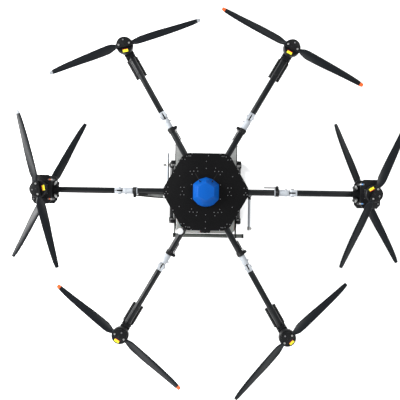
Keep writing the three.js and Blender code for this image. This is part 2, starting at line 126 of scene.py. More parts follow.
# hand: the trailing edge is on the counter-clockwise side of a blade (1) or the clockwise side (-1),
# from above. tips: the paint on the ends of blades a and b, if any. screw: the side of the blade clamp with
# the screw, facing the motor (1: counter-clockwise of blade a). label: degrees that the sticker is turned.
# WHITE is the white paint on blade tips, drawn grey as a painted shade, as the tips look shaded against the
# white floor.
WHITE = (0.22, 0.232, 0.245)
ORANGE = (0.6, 0.09, 0.02)
ROTORS = {
    "front_left": {"hand": 1, "tips": (WHITE, WHITE), "screw": -1},
    "front_right": {"hand": -1, "tips": (ORANGE, ORANGE), "screw": -1},
    "rear_left": {"hand": -1, "tips": (ORANGE, ORANGE), "screw": 1},
    "rear_right": {"hand": 1, "screw": 1},
    "left_upper": {"hand": 1, "tips": (None, WHITE), "screw": -1},
    "left_lower": {"hand": -1, "screw": 1},
    "right_upper": {"hand": 1, "screw": -1, "label": -34},
    "right_lower": {"hand": -1, "screw": 1},
}


# ---- shapes
def arc(cx, cy, radius, start, end, steps):
    """Points on an arc, in degrees."""
    angles = [math.radians(start + (end - start) * i / steps) for i in range(steps + 1)]
    return [(cx + radius * math.cos(a), cy + radius * math.sin(a)) for a in angles]


class Shape:
    """Closed surfaces in millimetres, gathered before they become one piece."""

    def __init__(self):
        self.verts = []
        self.faces = []

    def add(self, verts, faces):
        start = len(self.verts)
        self.verts += [Vector(v) for v in verts]
        self.faces += [[start + i for i in face] for face in faces]
        return self

    def rings(self, rings, loop=False):
        """Skins a row of rings with the same number of points; loop joins the last ring to the first."""
        count = len(rings[0])
        faces = []
        for r in range(len(rings) if loop else len(rings) - 1):
            a, b = r * count, (r + 1) % len(rings) * count
            faces += [(a + i, a + (i + 1) % count, b + (i + 1) % count, b + i) for i in range(count)]
        if not loop:
            last = (len(rings) - 1) * count
            faces += [tuple(range(count))[::-1], tuple(range(last, last + count))]
        return self.add([p for ring in rings for p in ring], faces)

    def prism(self, outline, low, high, plane="XY"):
        """Extrudes an outline: plane XY along Z, plane XZ along Y."""
        if plane == "XY":
            return self.rings([[(x, y, z) for x, y in outline] for z in (low, high)])
        return self.rings([[(x, y, z) for x, z in outline] for y in (low, high)])

    def box(self, x0, x1, y0, y1, z0, z1):
        return self.prism([(x0, y0), (x1, y0), (x1, y1), (x0, y1)], z0, z1)

    def side_box(self, side, near, far, *rest):
        """A box between two distances from the middle plane, on the left (-1) or on the right (1)."""
        return self.box(*sorted((side * near, side * far)), *rest)

    def lathe(self, profile, at=(0, 0, 0), axis=(0, 0, 1), steps=40, loop=False):
        """Turns a half outline [radius, distance along the axis] about an axis through a point."""
        turn = Vector((0, 0, 1)).rotation_difference(Vector(axis))
        rings = []
        for radius, height in profile:
            ring = [Vector((x, y, height)) for x, y in arc(0, 0, radius, 0, 360 - 360 / steps, steps - 1)]
            rings.append([Vector(at) + turn @ p for p in ring])
        return self.rings(rings, loop)

    def rod(self, a, b, radius, steps=20, end_radius=None):
        a, b = Vector(a), Vector(b)
        profile = [(radius, 0), (radius if end_radius is None else end_radius, (b - a).length)]
        return self.lathe(profile, a, b - a, steps)

    def pipe(self, a, b, radius, bore, steps=40):
        a, b = Vector(a), Vector(b)
        length = (b - a).length
        profile = [(radius, 0), (radius, length), (bore, length), (bore, 0)]
        return self.lathe(profile, a, b - a, steps, loop=True)

    def sweep(self, points, radius, steps=10):
        """A round bar along a row of points."""
        points = [Vector(p) for p in points]
        rings = []
        for i, p in enumerate(points):
            ahead = points[min(i + 1, len(points) - 1)] - points[max(i - 1, 0)]
            turn = Vector((0, 0, 1)).rotation_difference(ahead)
            ring = arc(0, 0, radius, 0, 360 - 360 / steps, steps - 1)
            rings.append([p + turn @ Vector((x, y, 0)) for x, y in ring])
        return self.rings(rings)

    def screw(self, at, axis=(0, 0, 1), head=3.0, height=1.8):
        """A button head with its hexagon socket."""
        profile = [(head, 0), (head, 0.45 * height), (0.8 * head, height)]
        profile += [(0.5 * head, height), (0.5 * head, 0.4 * height)]
        return self.lathe(profile, at, axis, 12)

    def hexagon(self, at, axis, across, height):
        r = across / math.sqrt(3)
        return self.lathe([(r * 0.93, 0), (r, 0.4), (r, height - 0.6), (r * 0.9, height)], at, axis, 6)


def in_scene(name, data, location=(0, 0, 0)):
    obj = bpy.data.objects.new(name, data)
    obj.location = location
    scene.collection.objects.link(obj)
    return obj


def piece(name, shape, paint, body=ROOT, place=None, bevel=0.0, replaces=(), sharp=32):
    """Makes one object from a shape, with its sharp edges bevelled, and lets it ride on a body."""
    mesh = bpy.data.meshes.new(name)
    mesh.from_pydata([v * MM for v in shape.verts], [], shape.faces)
    bm = bmesh.new()
    bm.from_mesh(mesh)
    bmesh.ops.recalc_face_normals(bm, faces=bm.faces)
    if bevel:
        limit = math.radians(30)
        edges = [e for e in bm.edges if len(e.link_faces) == 2 and e.calc_face_angle(0) > limit]
        bmesh.ops.bevel(
            bm, geom=edges, offset=bevel * MM, segments=2, profile=0.6, affect="EDGES", clamp_overlap=True
        )
    bm.to_mesh(mesh)
    bm.free()
    mesh.shade_smooth()
    mesh.set_sharp_from_angle(angle=math.radians(sharp))
    obj = in_scene(name, mesh)
    obj.matrix_world = place if place is not None else Matrix()
    mesh.materials.append(paint.material)
    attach(obj, body)
    if replaces:
        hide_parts(*replaces)
    return obj


def fitter(ending, body, place):
    """A shorter piece() for pieces that share their names' ending, their body and their place."""
    def fit(name, shape, paint, **more):
        return piece(name + "_" + ending, shape, paint, body, place, **more)

    return fit


# ---- materials
class Paint:
    """A material built from nodes on top of the Principled shader."""

    def __init__(self, name, slot, base, roughness, metallic=0.0, specular=0.5, **fixed):
        self.slot = slot
        self.material = bpy.data.materials.new(name)
        self.material.use_nodes = True
        self.tree = self.material.node_tree
        self.shader = self.tree.nodes["Principled BSDF"]
        values = {"Base Color": (*base, 1), "Roughness": roughness, "Metallic": metallic}
        values["Specular IOR Level"] = specular
        values.update({key.replace("_", " "): value for key, value in fixed.items()})
        for key, value in values.items():
            self.shader.inputs[key].default_value = value
        self.base = base
        self.place = self.node("TexCoord").outputs["Object"]
        split = self.node("SeparateXYZ", Vector=self.place)
        self.x, self.y, self.z = split.outputs

    def node(self, kind, settings=None, **inputs):
        made = self.tree.nodes.new("ShaderNode" + kind)
        for key, value in (settings or {}).items():
            setattr(made, key, value)
        for key, value in inputs.items():
            self.feed(made.inputs[key.replace("_", " ")], value)
        return made

    def feed(self, socket, value):
        if isinstance(value, bpy.types.NodeSocket):
            self.tree.links.new(value, socket)
        else:
            socket.default_value = value

    def calc(self, operation, *values):
        made = self.node("Math", {"operation": operation})
        for socket, value in zip(made.inputs, values):
            self.feed(socket, value)
        return made.outputs[0]

    def noise(self, scale, detail=3.0, stretch=(1, 1, 1)):
        place = self.node("Mapping", Vector=self.place, Scale=stretch).outputs[0]
        return self.node("TexNoise", Vector=place, Scale=scale, Detail=detail).outputs[0]

    def ramp(self, value, low, high):
        """Spreads the part of a value between low and high over 0 to 1."""
        return self.node("MapRange", Value=value, From_Min=low, From_Max=high).outputs[0]

    def mix(self, factor, a, b):
        """Blends two colours, each a tuple or a node's output."""
        made = self.node("Mix", {"data_type": "RGBA"})
        self.feed(made.inputs[0], factor)
        self.feed(made.inputs[6], (*a, 1) if isinstance(a, tuple) else a)
        self.feed(made.inputs[7], (*b, 1) if isinstance(b, tuple) else b)
        return made.outputs[2]

    def colour(self, factor, a, b):
        """Colours the surface from a to b by a factor."""
        self.feed(self.shader.inputs["Base Color"], self.mix(factor, a, b))
        return self

    def rough(self, factor, low, high):
        value = self.node("MapRange", Value=factor, To_Min=low, To_Max=high).outputs[0]
        self.feed(self.shader.inputs["Roughness"], value)
        return self

    def bump(self, height, distance_mm, strength=1.0):
        made = self.node("Bump", Height=height, Distance=distance_mm * MM, Strength=strength)
        if self.shader.inputs["Normal"].is_linked:
            self.feed(made.inputs["Normal"], self.shader.inputs["Normal"].links[0].from_socket)
        self.feed(self.shader.inputs["Normal"], made.outputs[0])
        return self

    def worn(self, colour, amount=0.5):
        """Lighter convex edges, broken up by noise."""
        edge = self.ramp(self.node("NewGeometry").outputs["Pointiness"], 0.53, 0.62)
        patch = self.ramp(self.noise(90, 4), 0.45, 0.7)
        factor = self.calc("MULTIPLY", self.calc("MULTIPLY", edge, patch), amount)
        socket = self.shader.inputs["Base Color"]
        under = socket.links[0].from_socket if socket.is_linked else self.base
        self.feed(socket, self.mix(factor, under, colour))
        return self


def twill(paint, across, along, tow_mm=2.0):
    """A 2 by 2 twill of flat tows: returns which tow is on top and the height of the cloth."""
    u = paint.calc("DIVIDE", across, tow_mm * MM)
    v = paint.calc("DIVIDE", along, tow_mm * MM)
    step = paint.calc("ADD", paint.calc("FLOOR", u), paint.calc("FLOOR", v))
    over = paint.calc("LESS_THAN", paint.calc("FLOORED_MODULO", step, 4.0), 1.5)
    crown_u = paint.calc("SINE", paint.calc("MULTIPLY", paint.calc("FRACT", u), math.pi))
    crown_v = paint.calc("SINE", paint.calc("MULTIPLY", paint.calc("FRACT", v), math.pi))
    mixed = paint.node("Mix", {"data_type": "FLOAT"})
    paint.feed(mixed.inputs[0], over)
    paint.feed(mixed.inputs[2], crown_u)
    paint.feed(mixed.inputs[3], crown_v)
    return over, mixed.outputs[0]


def carbon_plate():
    paint = Paint("carbon_plate", "carbon_plate", (0.0025, 0.0025, 0.0027), 0.42, specular=0.07)
    over, height = twill(paint, paint.x, paint.y)
    paint.colour(over, (0.0016, 0.0016, 0.0018), (0.0034, 0.0034, 0.0037))
    paint.rough(paint.calc("ADD", paint.calc("MULTIPLY", over, 0.5), paint.noise(25, 5)), 0.36, 0.5)
    paint.bump(height, 0.06).bump(paint.noise(600, 2), 0.02)
    return paint


def carbon_tube(radius_mm):
    """Twill wound round a tube that lies along the piece's own X axis."""
    paint = Paint("carbon_tube", "carbon_tube", (0.004, 0.0046, 0.0054), 0.3, specular=0.18)
    axis_z = ARM_Z * MM
    angle = paint.calc("ARCTAN2", paint.y, paint.calc("SUBTRACT", paint.z, axis_z))
    over, height = twill(paint, paint.calc("MULTIPLY", angle, radius_mm * MM), paint.x)
    paint.colour(over, (0.0026, 0.003, 0.0036), (0.0052, 0.0062, 0.0072))
    paint.rough(paint.noise(30, 4), 0.28, 0.42)
    paint.bump(height, 0.05)
    return paint


def tinted(base, scale, lift=0.0):
    return tuple(min(1, c * scale + lift) for c in base)


def plastic(name, slot, base, rough=0.5, grain_mm=0.05, **fixed):
    """Moulded plastic: fine spark grain, slow colour drift and rubbed edges."""
    paint = Paint(name, slot, base, rough, **fixed)
    drift = paint.noise(14, 4)
    paint.colour(drift, tinted(base, 0.85), tinted(base, 1.15))
    paint.rough(paint.noise(160, 3), rough - 0.07, rough + 0.09)
    paint.bump(paint.noise(1100, 2), grain_mm)
    paint.worn(tinted(base, 2.2, 0.015), 0.5)
    return paint


def metal(name, slot, base, rough=0.3, metallic=0.9, worn=None, **fixed):
    """Machined or anodised metal: fine turning marks, faint stains and bright rubbed edges."""
    paint = Paint(name, slot, base, rough, metallic, **fixed)
    stain = paint.noise(22, 5)
    paint.colour(stain, tinted(base, 0.88), tinted(base, 1.1))
    paint.rough(paint.noise(260, 4), rough - 0.08, rough + 0.1)
    paint.bump(paint.noise(700, 3), 0.02)
    paint.worn(worn or tinted(base, 1.25), 0.6)
    return paint


def blade_plastic(tip):
    """Black fibre-filled plastic with a painted cool sheen, its dark colours tinted blue for bluish
    highlights; tip is the colour painted on the blade's end, or none.
    """
    paint = Paint("propeller", "prop_plastic", (0.003, 0.0036, 0.0044), 0.33, specular=0.18)
    # Streaks along the blade between two blacks tinted blue: the streaks are grain, the blue is a painted
    # sheen.
    streaks = paint.noise(110, 5, (0.12, 1, 1))
    body = paint.mix(streaks, (0.0025, 0.003, 0.004), (0.006, 0.0075, 0.0095))
    if tip:
        painted = paint.calc("GREATER_THAN", paint.x, (TIP_R - BLADE_PIVOT - TIP_PAINT) * MM)
        body = paint.mix(painted, body, tip)
    paint.feed(paint.shader.inputs["Base Color"], body)
    paint.rough(paint.noise(45, 4), 0.28, 0.44)
    paint.bump(paint.noise(900, 3, (0.2, 1, 1)), 0.03)
    paint.worn((0.05, 0.055, 0.06), 0.4)
    return paint


def tank_plastic():
    # Painted shade: the tank is white plastic, drawn mid-grey as it looks in the shade of the plates above
    # it.
    paint = Paint(
        "tank_plastic", "tank_plastic", (0.2, 0.205, 0.195), 0.42,
        Subsurface_Weight=0.25, Subsurface_Scale=0.01,
    )
    paint.colour(paint.noise(9, 4), (0.17, 0.175, 0.168), (0.22, 0.225, 0.215))
    paint.rough(paint.noise(70, 4), 0.34, 0.5)
    paint.bump(paint.noise(160, 4), 0.12)
    return paint


def floor_paint():
    paint = Paint("floor", "tank_plastic", (0.93, 0.93, 0.93), 0.85)
    paint.colour(paint.noise(3, 3), (0.92, 0.92, 0.92), (0.94, 0.94, 0.94))
    return paint.material


# ---- paints
PLATE = carbon_plate()
TUBE = carbon_tube(TUBE_R)
BLACK = plastic("black_plastic", "black_plastic", (0.004, 0.0042, 0.0047), 0.45, specular=0.2)
RUBBER = plastic("black_rubber", "black_plastic", (0.0045, 0.0045, 0.0045), 0.75, 0.1, specular=0.2)
ANODISED = metal(
    "black_anodised", "black_aluminium", (0.004, 0.0042, 0.0048), 0.4, 0.1,
    worn=(0.03, 0.03, 0.033), specular=0.2,
)
SILVER = metal("silver_aluminium", "aluminium", (0.3, 0.32, 0.345), 0.55, 0.2, specular=0.3)
STEEL = metal("screw_steel", "aluminium", (0.32, 0.32, 0.33), 0.3, 0.9)
BRIGHT = metal("bright_steel", "aluminium", (0.45, 0.45, 0.44), 0.32, 0.8)
COPPER = metal("copper_wire", "black_aluminium", (0.55, 0.2, 0.07), 0.35, 0.9)
BLUE = plastic("cover_blue", "cover_blue", (0.0, 0.055, 0.26), 0.4, 0.02, specular=0.15)
TANK = tank_plastic()
# A grey that paints light, not a part's own colour: painted shade on the sheets in front of the tank, and a
# painted highlight on the sheet beside the left arm's tube.
GREY_PAINTED_LIGHT = plastic("grey_painted_light_sheet", "tank_plastic", (0.18, 0.185, 0.18), 0.45)
OLIVE = plastic("olive_tube", "black_plastic", (0.035, 0.04, 0.035), 0.4)
YELLOW = plastic("label_yellow", "black_plastic", (0.85, 0.72, 0.02), 0.4, 0.01)
RED = plastic("label_red", "black_plastic", (0.6, 0.02, 0.02), 0.4, 0.01)
LENS = plastic("lamp_lens", "tank_plastic", (0.42, 0.43, 0.42), 0.3, 0.01, Coat_Weight=0.3)
WHITE_PLASTIC = plastic("white_plastic", "tank_plastic", (0.42, 0.43, 0.44), 0.35)
BLUE_STRIP = plastic("strip_blue", "black_plastic", (0.1, 0.3, 0.7), 0.35, 0.01)
ORANGE_STRIP = plastic("strip_orange", "black_plastic", (0.65, 0.14, 0.04), 0.35, 0.01)
TUBE_BLACK = plastic("gear_tube", "carbon_tube", (0.006, 0.0065, 0.0075), 0.35)


# ---- frame plates and cover
def plate_outline():
    """A hexagon with its corners on the arms, cut square where each arm leaves."""
    half = (PLATE_FLAT / math.cos(math.pi / 6) - PLATE_CORNER) * math.tan(math.pi / 3)
    points = []
    for i in range(6):
        c, s = math.cos(i * math.pi / 3), math.sin(i * math.pi / 3)
        points += [(PLATE_CORNER * c - y * s, PLATE_CORNER * s + y * c) for y in (-half, half)]
    return points


def mirrored(points, y=False):
    """Points on both sides of the middle plane, and with y in front and behind as well."""
    flips = [(1, 1), (-1, 1)] + ([(1, -1), (-1, -1)] if y else [])
    return [(px * fx, py * fy) for px, py in points for fx, fy in flips]


def frame_plates():
    for name, low in (("top", TOP_Z - PLATE_THICK), ("bottom", UNDER_Z)):
        plate = Shape().prism(plate_outline(), low, low + PLATE_THICK)
        piece(name + "_frame_plate", plate, PLATE, bevel=0.5, replaces=[name + "_plate"])
    posts = Shape()
    for x, y in arc(0, 0, 160, 30, 330, 5):
        posts.lathe([(5, 0), (5, 29.5)], (x, y, UNDER_Z + PLATE_THICK + 1), steps=24)
        posts.hexagon((x, y, UNDER_Z - 3), (0, 0, 1), 8, 3)
    piece("plate_posts", posts, ANODISED, bevel=0.4)
    screws = Shape()
    spots = [(0, 147), (0, 113), (0, -111), (0, -145), (0, -176), (10, 174)]
    spots += mirrored([(45, 115), (41, 99), (60, 99), (77, 98), (68, 84)], y=True)
    spots += mirrored([(106, 20), (122, 20), (114, 1), (106, -16), (122, -16), (128, 75), (158, 91)])
    spots += mirrored([(128, -73), (158, -91)])
    spots += mirrored([(84, 172), (69, 184), (95, 170), (76, 172), (118, 156), (104, 155)], y=True)
    spots += mirrored([(199, 20), (184, 20), (192, -2), (199, -12), (184, -12)])
    spots += mirrored([(70, 34)], y=True)
    for x, y in spots:
        screws.screw((x, y, TOP_Z), head=2.6, height=1.6)
    piece("top_plate_screws", screws, STEEL)


def antenna_cover():
    """The faceted cover, from the CAD node's own corners, with softened edges."""
    source = frame["nodes"]["gps_cover"]
    bm = bmesh.new()
    for vertex in source.data.vertices:
        bm.verts.new(vertex.co / MM)
    bmesh.ops.remove_doubles(bm, verts=bm.verts, dist=0.01)
    bmesh.ops.convex_hull(bm, input=bm.verts)
    bmesh.ops.dissolve_limit(bm, angle_limit=0.02, verts=bm.verts, edges=bm.edges)
    bm.verts.index_update()
    cover = Shape().add([v.co.copy() for v in bm.verts], [[v.index for v in f.verts] for f in bm.faces])
    bm.free()
    piece("antenna_cover", cover, BLUE, bevel=1.1, replaces=["gps_cover"], sharp=20)
    step = Shape()
    base = TOP_Z + 33
    step.prism([(-17, 52), (17, 52), (9, 60), (0, 63), (-9, 60)], base - 16, base - 6)
    piece("cover_front_step", step, BLUE, bevel=1.0, sharp=20)
    screws = Shape()
    for x, y in [(-57, 33), (57, 33), (-57, -33), (57, -33), (0, -68)]:
        screws.screw((x, y, TOP_Z + 0.3), head=3.4, height=3)
    piece("cover_screws", screws, STEEL)
    for side, name in ((-1, "left"), (1, "right")):
        rod = Shape()
        rod.rod((side * 29, 47, TOP_Z + 30), (side * 33, 54, TOP_Z + 28), 3.2, 16, 2.2)
        rod.rod((side * 31, 51, TOP_Z + 29), (side * 53, 88, TOP_Z + 14), 1.5, 12, 1.1)
        piece("rod_antenna_" + name, rod, RUBBER, bevel=0.3)


# ---- arms
def arm_place(arm):
    pivot = joint_mm(arm + "_arm_fold")
    return turned_place((0, 0, 0), math.atan2(pivot.y, pivot.x))


def along(u, v=0.0, z=0.0):
    """A point on an arm, from the middle of its tube."""
    return (u, v, ARM_Z + z)


def ribs(start, end, radius, depth, pitch):
    """A half outline with rounded ribs between two distances."""
    profile = []
    steps = int((end - start) / pitch * 6)
    for i in range(steps + 1):
        u = start + (end - start) * i / steps
        wave = 0.5 + 0.5 * math.cos(2 * math.pi * (u - start) / pitch)
        profile.append((radius - depth * wave ** 2, u))
    return profile


def inner_arm(arm, place, side):
    fit = fitter(arm, ROOT, place)
    tube = Shape().pipe(along(INNER_START), along(INNER_END), TUBE_R, TUBE_BORE)
    fit("inner_tube", tube, TUBE, bevel=0.3, replaces=["inner_arm_" + arm])
    blocks = Shape()
    bolts = Shape()
    for u0, u1, half in ((84, 124, 20), (168, 202, 21)):
        blocks.box(u0, u1, -half, half, ARM_Z - 15.7, ARM_Z - 0.6)
        blocks.box(u0, u1, -half, half, ARM_Z + 0.6, ARM_Z + 15.7)
        for v in (-half + 2.8, half - 2.8):
            bolts.rod(along((u0 + u1) / 2, v, -15), along((u0 + u1) / 2, v, 15), 1.6, 12)
    fit("plate_clamps", blocks, ANODISED, bevel=1.2)
    fit("clamp_bolts", bolts, STEEL)
    inner_hinge(fit, SILVER if arm in TWIN_ARMS else ANODISED, side)
    lever_bracket(fit, side)


def inner_hinge(fit, ring_paint, side):
    """The ring, collar, body and tongue on the end of the inner tube."""
    ring = Shape().pipe(along(INNER_END), along(INNER_END + 4), 18, 14.6)
    fit("hinge_ring", ring, ring_paint, bevel=0.5)
    profile = [(16, 336.4), (18.6, 336.4), *ribs(338, 353, 19, 0.7, 3), (18, 354), (16, 354)]
    fit("hinge_collar", Shape().lathe(profile, along(0), OUT, 56), ANODISED)
    profile = [(13, 354.2), *ribs(355, 383, 16, 0.9, 4), (16.2, 384), (16.2, 395), (14.5, 396.5), (14.5, 402)]
    body = Shape().lathe(profile, along(0), OUT, 56)
    fit("hinge_body", body, SILVER, bevel=0.4)
    nose = arc(HINGE_U, ARM_Z, 13, -90, 90, 14)
    tongue = Shape().prism([(399, ARM_Z - 13), *nose, (399, ARM_Z + 13)], -3.2, 3.2, "XZ")
    fit("hinge_tongue", tongue, ANODISED, bevel=0.4)
    stop = Shape().rod(along(388, side * 14, 3), along(388, side * 20, 3), 3.4, 16)
    stop.hexagon(along(388, side * 18, 3), (0, side, 0), 8, 3.5)
    fit("hinge_lock_screw", stop, STEEL)


def lever_bracket(fit, side):
    """Two ears with a pin, which hold the lock lever beside the collar."""
    round_end = arc(LEVER_U, side * LEVER_V, 6.8, 180, 180 - side * 180, 10)
    outline = [(338, side * 12), *round_end, (352, side * 12)]
    ears = Shape()
    for z in (ARM_Z - 11.2, ARM_Z + 8.2):
        ears.prism(outline, z, z + 3)
    ears.rod(along(LEVER_U, side * LEVER_V, -12.5), along(LEVER_U, side * LEVER_V, 12.5), 3, 16)
    ears.hexagon(along(LEVER_U, side * LEVER_V, 11.5), (0, 0, 1), 8, 3)
    fit("lever_bracket", ears, ANODISED, bevel=0.4)


def lock_lever(arm, place, side, inset):
    """A cam lever; inset is the gap between its inner edge and the tube's axis."""
    eye = [(3.4, -7.8), (6, -7.8), (6, 7.8), (3.4, 7.8)]
    lever = Shape().lathe(eye, along(LEVER_U, side * LEVER_V), steps=28, loop=True)
    path = [(LEVER_U, LEVER_V - 5.5), (331, max(inset, 19.6)), (327, inset), (LEVER_END + 2, inset)]
    path += [(LEVER_END, inset + 2.5), (LEVER_END + 3, inset + 5), (326, inset + 5), (LEVER_U, LEVER_V + 2)]
    lever.prism([(u, side * v) for u, v in path], ARM_Z - 6, ARM_Z + 6)
    piece("cam_lever_" + arm, lever, BLACK, "lever_" + arm, place, bevel=0.8, replaces=["lock_lever_" + arm])


def outer_arm(fit, arm):
    tube = Shape().pipe(along(OUTER_START), along(OUTER_END), TUBE_R, TUBE_BORE)
    fit("outer_tube", tube, TUBE, bevel=0.3, replaces=["outer_arm_" + arm])
    fork = Shape()
    cheek = arc(HINGE_U, ARM_Z, 16.8, 90, 270, 20)
    back = OUTER_START - 0.5
    for low, high in ((-15.5, -3.5), (3.5, 15.5)):
        fork.prism([*cheek, (back, ARM_Z - 15), (back, ARM_Z + 15)], low, high, "XZ")
    fork.box(back - 5, back, -15.2, 15.2, ARM_Z - 15, ARM_Z + 15)
    fit("hinge_fork", fork, SILVER, bevel=1.0)
    bolt = Shape().rod(along(HINGE_U, -16), along(HINGE_U, 16), 4, 20)
    bolt.screw(along(HINGE_U, -15.4), (0, -1, 0), 7, 4)
    bolt.hexagon(along(HINGE_U, 15.4), (0, 1, 0), 13, 4.2)
    fit("hinge_bolt", bolt, STEEL)


def stator(fit, motor_u, base, up):
    """The winding core inside a motor: laminated steel with copper coils, seen through the gap."""
    at = (motor_u, 0, base)
    core = Shape().lathe([(8, up), (33, up), (33, 4 * up), (8, 4 * up)], at, steps=36, loop=True)
    core.lathe([(8, 11 * up), (36, 11 * up), (36, 26 * up), (8, 26 * up)], at, steps=36, loop=True)
    fit("motor_core", core, STEEL, bevel=0.3)
    coils = Shape()
    profile = [(3, 4.5 * up), (5.6, 6 * up), (5.6, 27 * up), (3, 28.5 * up)]
    for x, y in arc(motor_u, 0, 26, 0, 330, 11):
        coils.lathe(profile, (x, y, base), steps=12)
    fit("motor_coils", coils, COPPER)


def single_mount(fit, arm):
    top = box_mm("motor_mount_" + arm)[1].z - CORE_HEIGHT
    blocks = Shape()
    blocks.box(CLAMP_START, CLAMP_END, -24, 24, ARM_Z - 19, ARM_Z - 0.5)
    blocks.box(CLAMP_START, CLAMP_END, -24, 24, ARM_Z + 0.5, top - 8)
    fit("tube_clamp", blocks, ANODISED, bevel=2.5, replaces=["motor_mount_" + arm])
    profile = [(12, -9), (37, -9), (38, -7), (38, -1.5), (36.5, 0), (12, 0)]
    base = Shape().lathe(profile, (MOTOR_U, 0, top), steps=48)
    for x, y in arc(MOTOR_U, 0, 31, 45, 315, 3):
        base.screw((x, y, top - 9), (0, 0, -1), 3, 2.4)
    fit("motor_base", base, ANODISED)
    screws = Shape()
    for u in (CLAMP_START + 8, CLAMP_END - 8):
        for v in (-20, 20):
            screws.screw((u, v, top - 8), head=2.8, height=2)
            screws.screw((u, v, ARM_Z - 19), (0, 0, -1), 2.8, 2)
    fit("clamp_screws", screws, STEEL)
    speed_controller(fit)
    stator(fit, MOTOR_U, top, 1)


def speed_controller(fit):
    """A sealed case with a finned heat sink, strapped under the arm tube."""
    case = Shape().box(641, 746, -25, 25, ARM_Z - 36, ARM_Z - 16.6)
    fit("speed_controller", case, BLACK, bevel=2.0)
    fins = Shape()
    for i in range(13):
        u = 644 + 8 * i
        fins.box(u, u + 3.4, -29.5, 29.5, ARM_Z - 43.5, ARM_Z - 30)
    fins.box(642, 746, -27.5, 27.5, ARM_Z - 37, ARM_Z - 32)
    fit("cooling_fins", fins, ANODISED, bevel=0.4)
    straps = Shape()
    for u in (656, 728):
        straps.pipe(along(u), along(u + 7), TUBE_R + 1.6, TUBE_R + 0.1)
    fit("controller_straps", straps, BLACK, bevel=0.4)


def twin_mount(fit, arm, place):
    low, high = box_mm("motor_mount_" + arm)
    upper, lower = high.z - CORE_HEIGHT, low.z + CORE_HEIGHT
    outline = [(732, -50), (748, -69), (812, -69), (828, -50), (828, 50), (812, 69), (748, 69), (732, 50)]
    plates = Shape().prism(outline, upper - 6, upper).prism(outline, lower, lower + 6)
    fit("twin_mount_plates", plates, ANODISED, bevel=1.0, replaces=["motor_mount_" + arm])
    column = Shape()
    column.box(CLAMP_START, CLAMP_END, -26, 26, ARM_Z + 0.6, upper - 6)
    column.box(CLAMP_START, CLAMP_END, -26, 26, lower + 6, ARM_Z - 0.6)
    fit("tube_clamp", column, ANODISED, bevel=2.0)
    posts = Shape()
    screws = Shape()
    profile = [(5, 0), (6, 2), (6, 58), (4.6, 62), (6, 66), (6, 114), (5, 116)]
    for u in (747, 817):
        for v in (-46, 46):
            posts.lathe(profile, (u, v, lower + 6), steps=20)
            screws.screw((u, v, upper), head=4.2, height=2.6)
            screws.screw((u, v, lower), (0, 0, -1), 4.2, 2.6)
    for u in (755, 800):
        for v in (-20, 20):
            screws.screw((u, v, upper), head=3, height=2.2)
    fit("twin_mount_posts", posts, ANODISED)
    fit("twin_mount_screws", screws, STEEL)
    lamps(fit)
    markers(fit, BLUE_STRIP if arm == "right" else ORANGE_STRIP, upper)
    stator(fitter(arm + "_upper", "arm_" + arm, place), TWIN_U, upper, 1)
    stator(fitter(arm + "_lower", "arm_" + arm, place), TWIN_U, lower, -1)


def lamps(fit):
    """Two round lamps on a bracket, turned outward and up beside the upper plate's inner edge."""
    bracket = Shape().box(709, 750, -33, 33, ARM_Z + 18.2, ARM_Z + 21.8)
    fit("lamp_bracket", bracket, ANODISED, bevel=0.8)
    dome = [(11, -3), (11, -0.6), (9.4, 1.8), (6, 3.6), (1.6, 4.4)]
    for side, label in ((-1, "a"), (1, "b")):
        back, front = Vector(along(712, side * 24, 20)), Vector(along(723, side * 31, 29))
        axis = (front - back).normalized()
        size = (front - back).length
        rim = [(9, 0), (12.2, 1.5), (13, 5), (13, size), (11.4, size), (11, size - 3), (9, size - 3)]
        fit("lamp_body_" + label, Shape().lathe(rim, back, axis, 36, loop=True), BLACK)
        fit("lamp_lens_" + label, Shape().lathe(dome, front, axis, 36), LENS)


def markers(fit, strip_paint, top):
    """Coloured strips with white ends on the inner edge of the upper plate."""
    for v, label in ((-46, "a"), (46, "b")):
        strip = Shape().box(738, 746, v - 3, v + 3, top, top + 2.4)
        fit("marker_strip_" + label, strip, strip_paint, bevel=0.5)
        end = Shape().box(730, 737.4, v - 3, v + 3, top - 5, top + 2.4)
        fit("marker_end_" + label, end, WHITE_PLASTIC, bevel=0.5)
        holder = Shape().box(728, 756, v - 4, v + 4, top - 8, top - 5.2)
        fit("marker_holder_" + label, holder, BLACK, bevel=0.5)


# ---- rotors and blades
def rotor_place(rotor):
    """The hub's frame: its origin on the motor's base, X along the blade clamp, Z the way the motor faces."""
    axis = joint_mm(rotor + "_rotor_spin")
    pivot = joint_mm(rotor + "_blade_a_fold")
    turn = math.atan2(pivot.y - axis.y, pivot.x - axis.x)
    face = -1 if rotor.endswith("lower") else 1
    place = turned_place((axis.x, axis.y, axis.z - face * BLADE_RISE), turn)
    if face < 0:
        place = place @ Matrix.Rotation(math.pi, 4, "X")
    return place


def motor_bell(fit, rotor):
    profile = [(38.4, 0.8), (40.6, 0.8), (41, 1.6), (41, 7), (40.4, 7.6), (40.4, 9), (41, 9.6), (41, 31)]
    profile += [(40, 33.5), (37.5, 35.4), (36, 36), (33.5, 36), (33, 35.2), (14, 35.2), (13.4, 36.6)]
    profile += [(3, 36.6), (3, 30.2), (38.4, 30.2)]
    bell = Shape().lathe(profile, steps=64, loop=True)
    fit("motor_bell", bell, ANODISED, replaces=["rotor_" + rotor])
    spokes = Shape()
    for i in range(12):
        a = math.radians(15 + 30 * i)
        c, s = math.cos(a), math.sin(a)
        corners = [(15, -1.1), (33.5, -1.1), (33.5, 1.1), (15, 1.1)]
        spokes.prism([(x * c - y * s, x * s + y * c) for x, y in corners], 34.6, 36)
    fit("bell_ribs", spokes, ANODISED, bevel=0.3)


